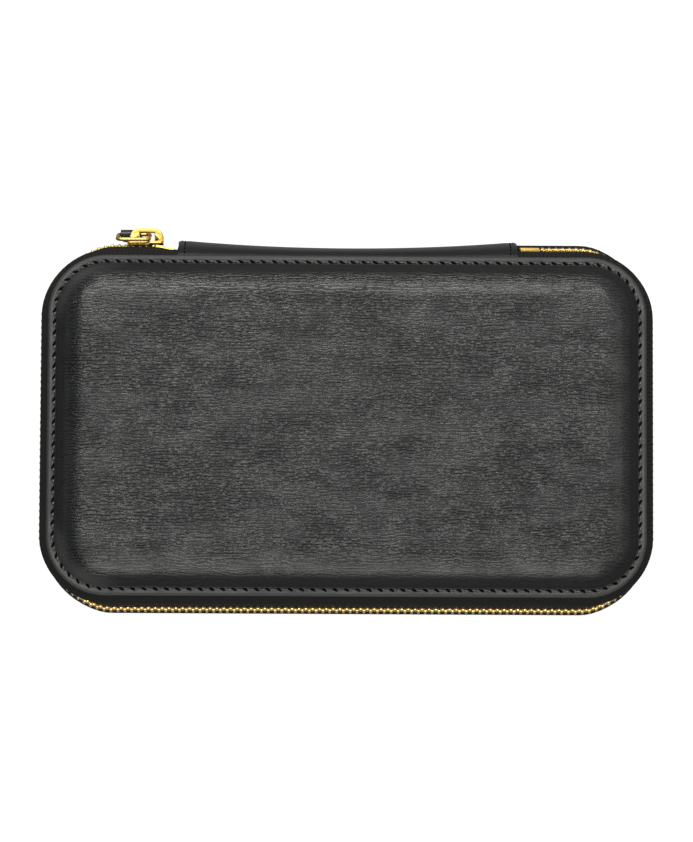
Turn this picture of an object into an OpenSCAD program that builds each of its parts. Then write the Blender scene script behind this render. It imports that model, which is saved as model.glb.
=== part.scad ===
// Zip-around leather poker chip case, lying on its back and closed.
// Origin at the centre of the flat back face, +X along the case, +Y towards the spine, +Z up.

/* [Case] */
// Length of the sewn flange along X
case_w = 222; // [205:1:260]
// Depth of the sewn flange along Y
case_d = 126.5; // [120:0.5:160]
// Full thickness, plateau to plateau
case_h = 50; // [48:0.5:56]
// Height of the flange's outer face from the middle plane
flange_h = 14.5; // [13.5:0.1:16]
// Corner radius of the flange
corner_r = 22; // [18:0.5:26]

/* [Layers] */
// Thickness of the cover leather
leather_t = 1.5; // [1:0.1:1.8]
// Thickness of the stiffening board
board_t = 1.2; // [0.8:0.1:1.6]
// Thickness of the lining
lining_t = 0.6; // [0.4:0.1:0.8]
// Gap between glued layers
layer_gap = 0.05; // [0.02:0.01:0.1]
// Width of the flat flange before the shoulder rises
flange_w = 3.6; // [3.4:0.1:4.5]

/* [Seam] */
// Distance of the seam from the flange's edge
stitch_inset = 2.2; // [1.9:0.1:2.4]
// Distance from one stitch to the next
stitch_pitch = 4.15; // [3.6:0.05:5]
// Length of a stitch
stitch_l = 3; // [2.4:0.1:3.4]
// Width of the thread
thread_w = 0.6; // [0.4:0.05:0.7]
// Slant of a stitch in degrees
stitch_slant = 8; // [0:1:10]
// Depth of the stitch groove
groove_d = 0.5; // [0.3:0.05:0.6]

/* [Zip] */
// Distance from tooth to tooth
tooth_pitch = 2.54; // [2.4:0.02:3]
// Length of a tooth's head along the tape
tooth_l = 1; // [0.8:0.05:1.1]
// Length of a tooth's legs along the tape
leg_l = 1.9; // [1.4:0.05:2]
// Thickness of the zip chain
chain_t = 2.4; // [2:0.1:2.8]
// Half of the chain's width
chain_half_w = 2.9; // [2.6:0.1:3.2]
// Reach of a tooth past the middle plane
tooth_reach = 0.7; // [0.4:0.05:0.8]
// Thickness of the tape
tape_t = 0.6; // [0.4:0.05:0.7]
// Distance of the tape's edge from the middle plane
tape_edge = 1.5; // [1.3:0.05:1.7]
// Room between the tape and a tooth's legs
tape_room = 0.2; // [0.15:0.05:0.3]
// Stand-out of the zip beyond the flange at the front and back
bulge_front = 4.2; // [3.4:0.1:6]
// Stand-out of the zip beyond the flange at the short sides
bulge_side = 0.7; // [0.4:0.1:4]
// Stand-out of the tape's bow between the flange and the zip
tape_bow = 2.5; // [2:0.1:3.2]
// Corner radius of the zip's path
zip_corner_r = 25.5; // [24:0.5:32]
// Length of a stop bar
stop_l = 6.7; // [5:0.1:8]
// Room between the spine's end and a stop bar
stop_room = 1.5; // [1:0.1:3]

/* [Spine] */
// Length of the spine strip
spine_l = 126.2; // [110:0.2:140]
// Thickness of the spine leather
spine_t = 1.4; // [1:0.1:1.6]
// Room between the tape and the spine at its ends
spine_room = 1.3; // [1:0.1:2]
// How far the spine dips in its middle
spine_dip = 2.8; // [1:0.1:3.5]
// Distance of the end seams from the spine's ends
end_seam_inset = 2.45; // [1.8:0.05:3]
// Length of the tape end under the spine
tongue_l = 5; // [4:0.1:7]

/* [Slider] */
// Length of the slider
slider_l = 13.4; // [12:0.1:15]
// Half of the slider's width
slider_half_w = 3.7; // [3.5:0.1:4]
// Thickness of a wing
wing_t = 0.9; // [0.7:0.1:1]
// Room between the chain and a wing
chain_room = 0.2; // [0.15:0.05:0.3]
// Straight travel before the zip turns the corner
slide_travel = 5; // [3:0.5:5]
// Length of the bridge on the slider
bridge_l = 12.6; // [11:0.1:13]
// Height of the bridge above the wing
bridge_h = 5.2; // [4.8:0.1:6]
// Width of the bridge
bridge_w = 3; // [2:0.1:3.4]
// Length of the hole in the bridge
eye_l = 5.6; // [5:0.1:6]
// Height of the hole in the bridge
eye_h = 3.2; // [3:0.1:3.6]
// Thickness of the bridge's foot under its hole
foot_t = 0.4; // [0.3:0.1:0.6]

/* [Pull] */
// Diameter of the ring's wire
wire_d = 1.5; // [1.2:0.1:1.6]
// Length of the ring between wire centres
ring_l = 11.85; // [10:0.05:14]
// Width of the ring between wire centres
ring_w = 12; // [11:0.1:13]
// Corner radius of the ring at the wire's centre
ring_corner_r = 2; // [1.5:0.1:2.5]
// Lean of the hanging ring in degrees
ring_lean = 16; // [8:1:18]
// Thickness of the tab's leather
tab_t = 0.9; // [0.7:0.05:1]
// Width of the tab
tab_w = 7.6; // [6:0.1:7.8]
// Length of the tab below the wire
tab_l = 17; // [12:0.5:18]
// Room between the wire and the tab's fold
tab_room = 0.1; // [0.05:0.01:0.1]

/* [Tray] */
// Diameter of a chip
chip_d = 39; // [36:0.5:39]
// Room round a chip
chip_room = 0.5; // [0.3:0.1:0.5]
// Distance from one chip rack to the next
row_pitch = 43; // [41.5:0.5:44]
// Wall of the card box at its far end
well_end_wall = 10.6; // [8:0.1:16]
// Length of the card well
card_l = 92; // [90:0.5:98]
// Wall of a rack at its ends and first side
tray_wall = 1.5; // [1.2:0.1:2]
// Walls between the last chip row and the card well, with their gap
well_wall = 3.5; // [2:0.1:5]
// Room between the racks and the lining
tray_room = 0.2; // [0.1:0.05:0.4]
// Gap between the racks' tops and the middle plane
tray_drop = 0.4; // [0.3:0.1:2]
// Gap between neighbouring racks
rack_gap = 0.2; // [0.1:0.05:0.4]

/* [Hidden] */
$fn = 48;

leather_colour = [0.16, 0.16, 0.17];
board_colour = [0.45, 0.36, 0.26];
lining_colour = [0.12, 0.12, 0.13];
thread_colour = [0.05, 0.05, 0.06];
tape_colour = [0.08, 0.08, 0.09];
brass_colour = [0.86, 0.68, 0.28];
tray_colour = [0.14, 0.14, 0.15];

// Middle plane and half sizes
mid = case_h / 2;
half_w = case_w / 2;
half_d = case_d / 2;
rise = mid - flange_h;
arc_steps = 10;

// Depth of each layer's faces below the plateau
board_d = leather_t + layer_gap;
lining_d = board_d + board_t + layer_gap;
inside_d = lining_d + lining_t;
tray_d = inside_d + tray_room;

// Heights at the flange, from the leather inwards
flange_low = flange_h - leather_t;
tuck_top = flange_low - layer_gap;
tuck_low = tuck_top - tape_t;
lining_top = tuck_low - layer_gap;
lining_low = lining_top - lining_t;
tuck_short = 0.4;
tuck_l = flange_w + board_d - tuck_short;

// Seam groove, wide enough for the slanted stitch
groove_room = 0.15;
groove_w = thread_w * cos(stitch_slant) + stitch_l * sin(stitch_slant) + groove_room;
thread_room = 0.03;

// Zip path and its places, as distances from the middle of the back side
zip_x = half_w + bulge_side;
zip_y = half_d + bulge_front;
zip_straight = zip_x - zip_corner_r;
stop_start = spine_l / 2 + stop_room;
stop_end = stop_start + stop_l;
leg_low = 1;
stop_to_tooth = 0.4;
tooth_start = stop_end + stop_to_tooth + leg_l / 2;
slot_low = tape_edge - tape_room;
bend_h = 0.55 * flange_h;
grip_over = 0.3;
grip_h = chain_half_w + grip_over;
fold_in = 0.2;
inner_fold_in = fold_in + 1.2 * tape_t;
lid_split = 18;
split_gap = 0.15;
split_clear = leg_l / 2 + 2 * tape_room;
corner_steps = 14;
corner_signs = [[-1, 1], [-1, -1], [1, -1], [1, 1]];

// Spine section: share of the stand-out at each height
spine_out = bulge_front + tape_t / 2 + spine_room + spine_t;
spine_fold_in = 0.9;
spine_share = [[0, 1], [0.31, 0.92], [0.55, 0.76], [0.72, 0.59]];
spine_steps = 12;
tongue_top = 0.7 * flange_h;
tongue_out = 0.43 * tape_bow;
tongue_thinner = 0.8;
tongue_half_t = tongue_thinner * tape_t / 2;
tongue_overlap = 1;
tape_to_spine = 0.3;
tape_start = spine_l / 2 + tape_to_spine;

// Slider and pull, along X and outwards from the zip path
wing_low = chain_t / 2 + chain_room;
wing_high = wing_low + wing_t;
stop_cover = 2.3;
slider_front = stop_cover - stop_end;
slider_rear = slider_front - slider_l;
wedge_l = 2.4;
wedge_half_w = 0.75;
wing_tip = 0.8;
outer_lip_d = 0.55;
inner_lip_d = 0.4;
bridge_x = slider_front - bridge_l;
bridge_r = 3.6;
eye_back = 3.3;
eye_x = slider_front - eye_back - eye_l;
bridge_low = wing_high + layer_gap;
eye_low = bridge_low + foot_t;
bar_back = 1.9;
bar_x = eye_x + eye_l - bar_back;
bar_out = eye_low + eye_h / 2;
hang_out = bar_out + ring_w / 2 * sin(ring_lean);
hang_h = -ring_w / 2 * cos(ring_lean);
tab_x = bar_x - ring_l / 2;
fold_r = wire_d / 2 + tab_room;

// Chip racks and card box
trough_r = chip_d / 2 + chip_room;
tray_half_w = half_w - flange_w - tray_d;
trough_x0 = -tray_half_w + tray_wall + trough_r;
trough_end_u = flange_w + rise - sqrt(pow(rise - tray_d, 2) - pow(trough_r - flange_h, 2));
row_l = 2 * (half_d - trough_end_u - tray_wall);
last_rack_end = trough_x0 + 2 * row_pitch + trough_r + (well_wall - rack_gap) / 2;
well_x = trough_x0 + 2 * row_pitch + trough_r + well_wall;
card_w = tray_half_w - well_end_wall - well_x;

// Point on a rounded rectangle at a length from the middle of its back side, with the outward angle
function on_path(s, ax, ay, r) =
    let (sx = ax - r, sy = ay - r, c = r * PI / 2,
         a = sx, b = a + c, d = b + 2 * sy, e = d + c, f = e + 2 * sx, g = f + c, h = g + 2 * sy, k = h + c)
    s < a ? [-s, ay, 90] :
    s < b ? round_corner(0, (s - a) / c * 90, sx, sy, r) :
    s < d ? [-ax, sy - (s - b), 180] :
    s < e ? round_corner(1, (s - d) / c * 90, sx, sy, r) :
    s < f ? [-sx + (s - e), -ay, 270] :
    s < g ? round_corner(2, (s - f) / c * 90, sx, sy, r) :
    s < h ? [ax, -sy + (s - g), 0] :
    s < k ? round_corner(3, (s - h) / c * 90, sx, sy, r) :
    [sx - (s - k), ay, 90];

function round_corner(k, turn, sx, sy, r) =
    let (angle = 90 + 90 * k + turn)
    [corner_signs[k][0] * sx + r * cos(angle), corner_signs[k][1] * sy + r * sin(angle), angle];

function path_length(ax, ay, r) = 4 * (ax - r) + 4 * (ay - r) + 2 * PI * r;

zip_length = path_length(zip_x, zip_y, zip_corner_r);
split_s = zip_straight + zip_corner_r * lid_split * PI / 180;
part_s = tooth_start + slide_travel;
tooth_count = floor((zip_length - 2 * tooth_start) / tooth_pitch);

// Layer profiles: x is the distance from the corner's axis, y the height from the middle plane
function shoulder(depth) =
    [for (i = [0 : arc_steps]) let (a = 90 * i / arc_steps)
        [corner_r - flange_w - rise + (rise - depth) * cos(a), flange_h + (rise - depth) * sin(a)]];

function back_to_front(points) = [for (i = [len(points) - 1 : -1 : 0]) points[i]];

module cover_profile() {
    groove_x = corner_r - stitch_inset;
    difference() {
        polygon(concat(
            [[corner_r, flange_low], [corner_r, flange_h]],
            shoulder(0), [[0, mid], [0, mid - leather_t]],
            back_to_front(shoulder(leather_t)),
            [[corner_r - flange_w - leather_t, flange_low]]
        ));
        translate([groove_x - groove_w / 2, flange_h - groove_d]) square([groove_w, groove_d + 1]);
    }
}

module board_profile() {
    polygon(concat(
        [[corner_r - flange_w - board_d, tuck_low]],
        shoulder(board_d), [[0, mid - board_d], [0, mid - board_d - board_t]],
        back_to_front(shoulder(board_d + board_t)),
        [[corner_r - flange_w - board_d - board_t, tuck_low]]
    ));
}

module lining_profile() {
    lining_edge = corner_r - stitch_inset + groove_w;
    polygon(concat(
        [[lining_edge, lining_low], [lining_edge, lining_top],
         [corner_r - flange_w - lining_d, lining_top]],
        shoulder(lining_d), [[0, mid - lining_d], [0, mid - inside_d]],
        back_to_front(shoulder(inside_d)),
        [[corner_r - flange_w - inside_d, lining_low]]
    ));
}

module rack_profile() {
    polygon(concat(
        [[0, tray_drop], [corner_r - flange_w - tray_d, tray_drop]],
        shoulder(tray_d), [[0, mid - tray_d]]
    ));
}

// Sweeps a profile round the flange's rounded rectangle and closes the middle between two heights
module round_the_case(low, high) {
    for (i = [0 : 3]) {
        along = i % 2 == 0 ? half_w - corner_r : half_d - corner_r;
        across = i % 2 == 0 ? half_d - corner_r : half_w - corner_r;
        rotate([0, 0, 90 * i]) translate([along, across, 0]) {
            rotate([90, 0, 0]) linear_extrude(2 * across) children();
            rotate_extrude(angle = 90) children();
        }
    }
    translate([corner_r - half_w, corner_r - half_d, low])
        cube([case_w - 2 * corner_r, case_d - 2 * corner_r, high - low]);
}

// Lid pieces stand above the middle plane, base pieces are their mirror image
module upper() { translate([0, 0, mid]) children(); }
module lower() { translate([0, 0, mid]) mirror([0, 0, 1]) children(); }

module cover() { round_the_case(mid - leather_t, mid) cover_profile(); }
module board() { round_the_case(mid - board_d - board_t, mid - board_d) board_profile(); }
module lining() { round_the_case(mid - inside_d, mid - lining_d) lining_profile(); }

module seam() {
    ax = half_w - stitch_inset;
    ay = half_d - stitch_inset;
    r = corner_r - stitch_inset;
    loop = path_length(ax, ay, r);
    count = round(loop / stitch_pitch);
    depth = groove_d - thread_room;
    for (i = [0 : count - 1]) {
        p = on_path((i + 0.5) * loop / count, ax, ay, r);
        translate([p[0], p[1], flange_h - depth / 2])
            rotate([0, 0, p[2] + stitch_slant])
                cube([thread_w, stitch_l, depth], center = true);
    }
}

// Tape section: share of the way from flange to zip path, outward shift, height
tape_section = [
    [1, tape_t / 2, tape_edge], [1, tape_t / 2, grip_h], [0, tape_bow + tape_t / 2, bend_h],
    [0, -fold_in, tuck_top], [0, -tuck_l, tuck_top],
    [0, -tuck_l, tuck_low], [0, -inner_fold_in, tuck_low],
    [0, tape_bow - tape_t / 2, bend_h], [1, -tape_t / 2, grip_h], [1, -tape_t / 2, tape_edge]
];

// Section of the thinner tape end that lies under the spine and runs on inside the tape
tongue_section = [
    [1, tongue_half_t, tape_edge], [1, tongue_half_t, grip_h],
    [0, tape_bow + tongue_half_t, bend_h], [0, tongue_out + tongue_half_t, tongue_top],
    [0, tongue_out - tongue_half_t, tongue_top], [0, tape_bow - tongue_half_t, bend_h],
    [1, -tongue_half_t, grip_h], [1, -tongue_half_t, tape_edge]
];

// A station is a flange point, a zip point, the outward angle and the section there
function corner_station(k, turn) =
    [round_corner(k, turn, half_w - corner_r, half_d - corner_r, corner_r),
     round_corner(k, turn, zip_straight, zip_y - zip_corner_r, zip_corner_r), 90 + 90 * k + turn, tape_section];
function back_station(x, section) = [[x, half_d], [x, zip_y], 90, section];
function corner_stations(k, from, to) =
    [for (i = [0 : corner_steps]) corner_station(k, from + (to - from) * i / corner_steps)];
function tongue_stations(side) =
    [for (x = [spine_l / 2 - tongue_l, tape_start + tongue_overlap]) back_station(side * x, tongue_section)];

function station_points(st) =
    [for (q = st[3])
        [st[0][0] + (st[1][0] - st[0][0]) * q[0] + q[1] * cos(st[2]),
         st[0][1] + (st[1][1] - st[0][1]) * q[0] + q[1] * sin(st[2]), q[2]]];

// Closed solid through rings of points, an outer chain followed by the inner chain back
module loft(rings) {
    m = len(rings[0]);
    n = len(rings);
    points = [for (ring = rings) each ring];
    walls = [for (i = [0 : n - 2], j = [0 : m - 1])
        let (a = i * m + j, b = i * m + (j + 1) % m, c = a + m, d = b + m) each [[a, b, d], [a, d, c]]];
    cap = [for (j = [0 : m / 2 - 2]) each [[j, m - 2 - j, j + 1], [j, m - 1 - j, m - 2 - j]]];
    far = (n - 1) * m;
    far_cap = [for (f = cap) [far + f[0], far + f[2], far + f[1]]];
    polyhedron(points, concat(cap, walls, far_cap), convexity = 6);
}

module tape(stations) { loft([for (st = stations) station_points(st)]); }

function whole_tape() = concat(
    [back_station(-tape_start, tape_section)], corner_stations(0, 0, 90), corner_stations(1, 0, 90),
    corner_stations(2, 0, 90), corner_stations(3, 0, 90), [back_station(tape_start, tape_section)]);
function lid_tape_run() = concat(
    corner_stations(0, lid_split + split_gap, 90), corner_stations(1, 0, 90),
    corner_stations(2, 0, 90), corner_stations(3, 0, 90 - lid_split - split_gap));
function left_tape_end() =
    concat([back_station(-tape_start, tape_section)], corner_stations(0, 0, lid_split - split_gap));
function right_tape_end() =
    concat(corner_stations(3, 90 - lid_split + split_gap, 90), [back_station(tape_start, tape_section)]);

module tongues() {
    tape(tongue_stations(-1));
    tape(back_to_front(tongue_stations(1)));
}

// Clamp on the tape's edge: x is outwards, y the height from the middle plane
module clamp_profile(low) {
    slot = tape_t + 2 * tape_room;
    difference() {
        translate([-chain_t / 2, low]) square([chain_t, chain_half_w - low]);
        translate([-slot / 2, slot_low]) square([slot, chain_half_w]);
    }
}

module tooth(s) {
    p = on_path(s, zip_x, zip_y, zip_corner_r);
    translate([p[0], p[1], 0]) rotate([0, 0, p[2]]) rotate([90, 0, 0]) {
        linear_extrude(tooth_l, center = true) translate([-chain_t / 2, -tooth_reach])
            square([chain_t, tooth_reach + slot_low]);
        linear_extrude(leg_l, center = true) clamp_profile(leg_low);
    }
}

lid_places = [for (i = [0 : tooth_count - 1]) tooth_start + i * tooth_pitch];
base_places = [for (s = lid_places) s + tooth_pitch / 2];
function on_lid(s) = s > split_s - split_clear && s < zip_length - split_s + split_clear;
function parting(s) = s < part_s;

module teeth(places) { for (s = places) tooth(s); }

module stop_bar(side) {
    translate([side * (stop_start + stop_l / 2), zip_y, 0]) rotate([0, 0, 90]) rotate([90, 0, 0])
        linear_extrude(stop_l, center = true) clamp_profile(leg_low);
}

// Spine: outward stand-out along its length, and a ring of points across the hinge
function spine_bulge(x) = spine_out - spine_dip * (1 - pow(2 * x / spine_l, 2));
function spine_outer(x, inset) =
    [for (side = [-1, 1], q = side < 0 ? back_to_front(spine_share) : [for (i = [1 : 3]) spine_share[i]])
        [x, half_d + spine_bulge(x) * q[1] - inset, side * q[0] * flange_h]];
function edge_points(x, inward, height) =
    [[x, half_d - inward, -height], [x, half_d - inward, height]];
function wrap_ends(ends, chain) = concat([ends[0]], chain, [ends[1]]);
function spine_ring(x) = concat(
    wrap_ends(edge_points(x, tuck_l, tuck_top), wrap_ends(edge_points(x, fold_in, tuck_top), spine_outer(x, 0))),
    back_to_front(wrap_ends(edge_points(x, tuck_l, tuck_low),
        wrap_ends(edge_points(x, spine_fold_in, tuck_low), spine_outer(x, spine_t)))));
spine_lining_gap = 0.3;
lining_back = spine_t + tape_t + spine_lining_gap;
spine_lining_t = 0.5;
lining_to_tongue = 0.5;
spine_lining_end = spine_l / 2 - tongue_l - lining_to_tongue;
function spine_lining_ring(x) =
    concat(spine_outer(x, lining_back), back_to_front(spine_outer(x, lining_back + spine_lining_t)));
function along_spine(from) = [for (i = [0 : spine_steps]) from + (-2 * from) * i / spine_steps];

module spine_seam(side) {
    x = side * (spine_l / 2 - end_seam_inset);
    rows_up = 7;
    stitch_gap = 0.12;
    seam_share = 0.7;
    step = 2 * seam_share * tongue_top / rows_up;
    for (i = [-(rows_up - 1) / 2 : (rows_up - 1) / 2]) {
        h = i * step;
        low = surface_out(x, h - step / 2);
        high = surface_out(x, h + step / 2);
        translate([x, half_d + surface_out(x, h) + thread_w / 4 + stitch_gap, mid + h])
            rotate([atan2(low - high, step), 0, 0])
                cube([thread_w, thread_w / 2, 0.7 * step], center = true);
    }
}
function surface_out(x, h) = spine_bulge(x) * lookup(abs(h) / flange_h, spine_share);

// Slider pieces are placed outwards from the zip path
module at_zip() { translate([0, zip_y, mid]) children(); }
module slab_out(from, to) { translate([0, to, 0]) rotate([90, 0, 0]) linear_extrude(to - from) children(); }

module wing_outline() {
    side = slider_half_w - wing_tip;
    polygon([
        [slider_front, -side], [slider_front - wing_tip, -slider_half_w],
        [slider_rear + wing_tip, -slider_half_w], [slider_rear, -side],
        [slider_rear, side], [slider_rear + wing_tip, slider_half_w],
        [slider_front - wing_tip, slider_half_w], [slider_front, side]
    ]);
}

module wing_lips() {
    lip_w = slider_half_w - chain_half_w - chain_room;
    lip_share = 0.55;
    lip_l = lip_share * slider_l;
    for (side = [-1, 1])
        translate([slider_rear + wing_tip + lip_l / 2, side * (slider_half_w - lip_w / 2)])
            square([lip_l, lip_w], center = true);
}

module base_cover() { color(leather_colour) lower() cover(); }
module base_board() { color(board_colour) lower() board(); }
module base_lining() { color(lining_colour) lower() lining(); }
module base_seam() { color(thread_colour) lower() seam(); }
module base_tape() {
    color(tape_colour) lower() {
        tape(whole_tape());
        tongues();
    }
}
module base_teeth() { color(brass_colour) lower() teeth([for (s = base_places) if (!parting(s)) s]); }

module lid_cover() { color(leather_colour) upper() cover(); }
module lid_board() { color(board_colour) upper() board(); }
module lid_lining() { color(lining_colour) upper() lining(); }
module lid_seam() { color(thread_colour) upper() seam(); }
module lid_tape() { color(tape_colour) upper() tape(lid_tape_run()); }
module lid_tape_ends() {
    color(tape_colour) upper() {
        tape(left_tape_end());
        tape(right_tape_end());
        tongues();
    }
}
module lid_teeth() { color(brass_colour) upper() teeth([for (s = lid_places) if (on_lid(s)) s]); }

module hinge_side_teeth() {
    color(brass_colour) upper() teeth([for (s = lid_places) if (!on_lid(s) && !parting(s)) s]);
}
module parting_teeth() {
    color(brass_colour) {
        upper() teeth([for (s = lid_places) if (parting(s)) s]);
        lower() teeth([for (s = base_places) if (parting(s)) s]);
    }
}
module zip_stops() {
    color(brass_colour) for (side = [-1, 1]) {
        upper() stop_bar(side);
        lower() stop_bar(side);
    }
}

module spine() {
    color(leather_colour) translate([0, 0, mid])
        loft([for (x = along_spine(-spine_l / 2)) spine_ring(x)]);
}
module spine_lining() {
    color(lining_colour) translate([0, 0, mid])
        loft([for (x = along_spine(-spine_lining_end)) spine_lining_ring(x)]);
}
module spine_stitches() { color(thread_colour) for (side = [-1, 1]) spine_seam(side); }

module slider() {
    color(brass_colour) at_zip() {
        slab_out(wing_low, wing_high) wing_outline();
        slab_out(-wing_high, -wing_low) wing_outline();
        slab_out(wing_low - outer_lip_d, wing_low) wing_lips();
        slab_out(-wing_low, inner_lip_d - wing_low) wing_lips();
        slab_out(-wing_low, wing_low)
            translate([slider_front - wedge_l, -wedge_half_w]) square([wedge_l, 2 * wedge_half_w]);
    }
}

module slider_bridge() {
    color(brass_colour) at_zip() linear_extrude(bridge_w, center = true)
        difference() {
            translate([bridge_x, bridge_low]) intersection() {
                square([bridge_l, bridge_h]);
                union() {
                    square([bridge_l, bridge_h - bridge_r]);
                    translate([bridge_r, 0]) square([bridge_l - 2 * bridge_r, bridge_h]);
                    for (x = [bridge_r, bridge_l - bridge_r])
                        translate([x, bridge_h - bridge_r]) circle(bridge_r);
                }
            }
            translate([eye_x, eye_low]) square([eye_l, eye_h]);
        }
}

module pull_ring() {
    side_l = ring_l - 2 * ring_corner_r;
    side_w = ring_w - 2 * ring_corner_r;
    color(brass_colour) translate([tab_x, zip_y + bar_out, mid]) rotate([90 + ring_lean, 0, 0])
        for (i = [0 : 3]) {
            along = i % 2 == 0 ? side_l : side_w;
            across = i % 2 == 0 ? side_w : side_l;
            rotate([0, 0, 90 * i]) {
                translate([-along / 2, across / 2 + ring_corner_r, 0]) rotate([0, 90, 0])
                    cylinder(d = wire_d, h = along);
                translate([along / 2, across / 2, 0]) rotate_extrude(angle = 90)
                    translate([ring_corner_r, 0]) circle(d = wire_d);
            }
        }
}

module at_tab() { translate([tab_x, zip_y + hang_out, mid + hang_h]) children(); }

module pull_tab() {
    end_r = tab_w / 2;
    color(leather_colour) at_tab() intersection() {
        rotate([90, 0, 90]) linear_extrude(tab_w, center = true) difference() {
            union() {
                circle(fold_r + tab_t);
                translate([-tab_t, -tab_l]) square([2 * tab_t, tab_l]);
            }
            circle(fold_r);
        }
        rotate([90, 0, 0]) linear_extrude(tab_w, center = true) {
            translate([-end_r, end_r - tab_l]) square([tab_w, tab_l]);
            translate([0, end_r - tab_l]) circle(end_r);
        }
    }
}

module pull_tab_stitches() {
    stitch_step = 2.6;
    edge_in = 1;
    first_drop = fold_r + tab_t + 1.6;
    stitches_down = floor((tab_l - first_drop - tab_w / 2) / stitch_step);
    color(thread_colour) at_tab()
        for (face = [-1, 1], side = [-1, 1], i = [0 : stitches_down])
            translate([side * (tab_w / 2 - edge_in), face * (tab_t + thread_w / 4 + thread_room),
                       -first_drop - i * stitch_step])
                cube([thread_w, thread_w / 2, 0.7 * stitch_step], center = true);
}

// The block that fills the base, cut to a stretch along X
module rack_block(from, to) {
    intersection() {
        round_the_case(tray_drop, mid - tray_d) rack_profile();
        translate([from, -half_d, 0]) cube([to - from, case_d, mid]);
    }
}

module chip_rack(i) {
    centre = trough_x0 + i * row_pitch;
    from = i == 0 ? -half_w : centre - (row_pitch - rack_gap) / 2;
    to = i == 2 ? last_rack_end : centre + (row_pitch - rack_gap) / 2;
    color(tray_colour) lower() difference() {
        rack_block(from, to);
        translate([centre, row_l / 2, 0]) rotate([90, 0, 0]) cylinder(r = trough_r, h = row_l);
    }
}

module left_chip_rack() { chip_rack(0); }
module middle_chip_rack() { chip_rack(1); }
module right_chip_rack() { chip_rack(2); }
module card_box() {
    color(tray_colour) lower() difference() {
        rack_block(last_rack_end + rack_gap, half_w);
        translate([well_x, -card_l / 2, -1]) cube([card_w, card_l, trough_r + 1]);
    }
}

base_cover();
base_board();
base_lining();
base_seam();
base_tape();
base_teeth();
lid_cover();
lid_board();
lid_lining();
lid_seam();
lid_tape();
lid_tape_ends();
lid_teeth();
hinge_side_teeth();
parting_teeth();
zip_stops();
spine();
spine_lining();
spine_stitches();
slider();
slider_bridge();
pull_ring();
pull_tab();
pull_tab_stitches();
left_chip_rack();
middle_chip_rack();
right_chip_rack();
card_box();
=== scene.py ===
import math
import bpy
from mathutils import Matrix, Vector


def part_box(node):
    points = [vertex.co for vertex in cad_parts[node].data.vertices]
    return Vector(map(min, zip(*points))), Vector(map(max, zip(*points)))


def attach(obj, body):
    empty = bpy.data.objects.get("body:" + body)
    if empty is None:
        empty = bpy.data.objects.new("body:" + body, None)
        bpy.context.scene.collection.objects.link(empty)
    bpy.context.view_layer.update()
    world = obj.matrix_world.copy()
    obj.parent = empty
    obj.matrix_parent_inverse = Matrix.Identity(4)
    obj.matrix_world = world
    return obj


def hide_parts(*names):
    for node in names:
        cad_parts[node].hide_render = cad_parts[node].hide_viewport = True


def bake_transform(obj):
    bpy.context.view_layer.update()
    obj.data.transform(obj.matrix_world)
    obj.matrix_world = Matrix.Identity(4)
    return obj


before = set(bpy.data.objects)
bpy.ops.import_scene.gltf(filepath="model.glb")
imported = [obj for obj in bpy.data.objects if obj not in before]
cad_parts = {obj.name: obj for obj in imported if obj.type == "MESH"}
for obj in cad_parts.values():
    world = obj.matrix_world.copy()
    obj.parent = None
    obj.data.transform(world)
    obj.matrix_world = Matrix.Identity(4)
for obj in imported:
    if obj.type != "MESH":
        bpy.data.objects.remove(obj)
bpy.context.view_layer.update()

# Sizes in millimetres, in the CAD model's frame
MM = 0.001

# Leather halves
CASE_W = 222
CASE_D = 126.5
HALF_W = CASE_W / 2
HALF_D = CASE_D / 2
MID = 25
FLANGE_H = 14.5
RISE = MID - FLANGE_H
CORNER_R = 22
CORNER_STEPS = 16
LEATHER_T = 1.5
FLANGE_W = 3.6
RIM_W = 0.9
SHOULDER_START = 3.05
SHOULDER_W = 14.5
SHOULDER_POWER = 2.7
GRAIN_PITCH = 1.22
STITCH_INSET = 2.6
STITCH_PITCH = 4.15
STITCH_SINK = 0.28

# Zip path, tapes and teeth
BULGE_FRONT = 4.2
BULGE_SIDE = 0.7
ZIP_X = HALF_W + BULGE_SIDE
ZIP_Y = HALF_D + BULGE_FRONT
ZIP_CORNER_R = 25.5
TAPE_T = 0.6
TAPE_H = 12.65
TAPE_BOW = 2.5
BOW_H = 8
GRIP_H = 3.2
TAPE_EDGE = 1.5
TAPE_GAP = 0.3
SPINE_L = 126.2
TAPE_START = SPINE_L / 2 + TAPE_GAP
TONGUE_L = 5
TONGUE_H = 0.7 * FLANGE_H
STOP_START = SPINE_L / 2 + 1.5
STOP_L = 6.7
STOP_MORE = 0.8
CHAIN_T = 2.4
# A tooth's legs: their height, the height of their middle, the CAD's length along the chain and the one shown
LEG_H = 1.9
LEG_MID_H = 1.95
LEG_L = 1.9
TOOTH_W = 1.05
TOOTH_ROOM = 0.4
TOOTH_PITCH = 2.54
TOOTH_START = STOP_START + STOP_L + TOOTH_ROOM + LEG_L / 2
SLIDE_TRAVEL = 5

# Where the lid tape's ends part from the lid tape, a spare length, and the cuts made across the ends
LID_SPLIT = math.radians(18)
TWIST_SPARE = 1.5
TWIST_STEP = 3
TWIST_STEPS = 8

# How the zip lies: its lean, how far it is drawn in or pushed out, and the base tape's belly under it
ZIP_LEAN = math.radians(14)
CORNER_PULL = 1.6
CORNER_POWER = 1.5
BOW_PULL = 0.4
SIDE_PUSH = 1.45
SIDE_TURN = math.radians(85)
FRONT_PULL = 0.45
BACK_PULL = 0.3
LEFT_TUCK = 1.3
TUCK_RUN = 8
FRONT_BELLY = 1.7
BACK_BELLY = 2.9
LEFT_BELLY = 1.3
LEFT_BELLY_END = -92
LEFT_BELLY_RUN = 10
BELLY_TURN = math.radians(75)

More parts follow.
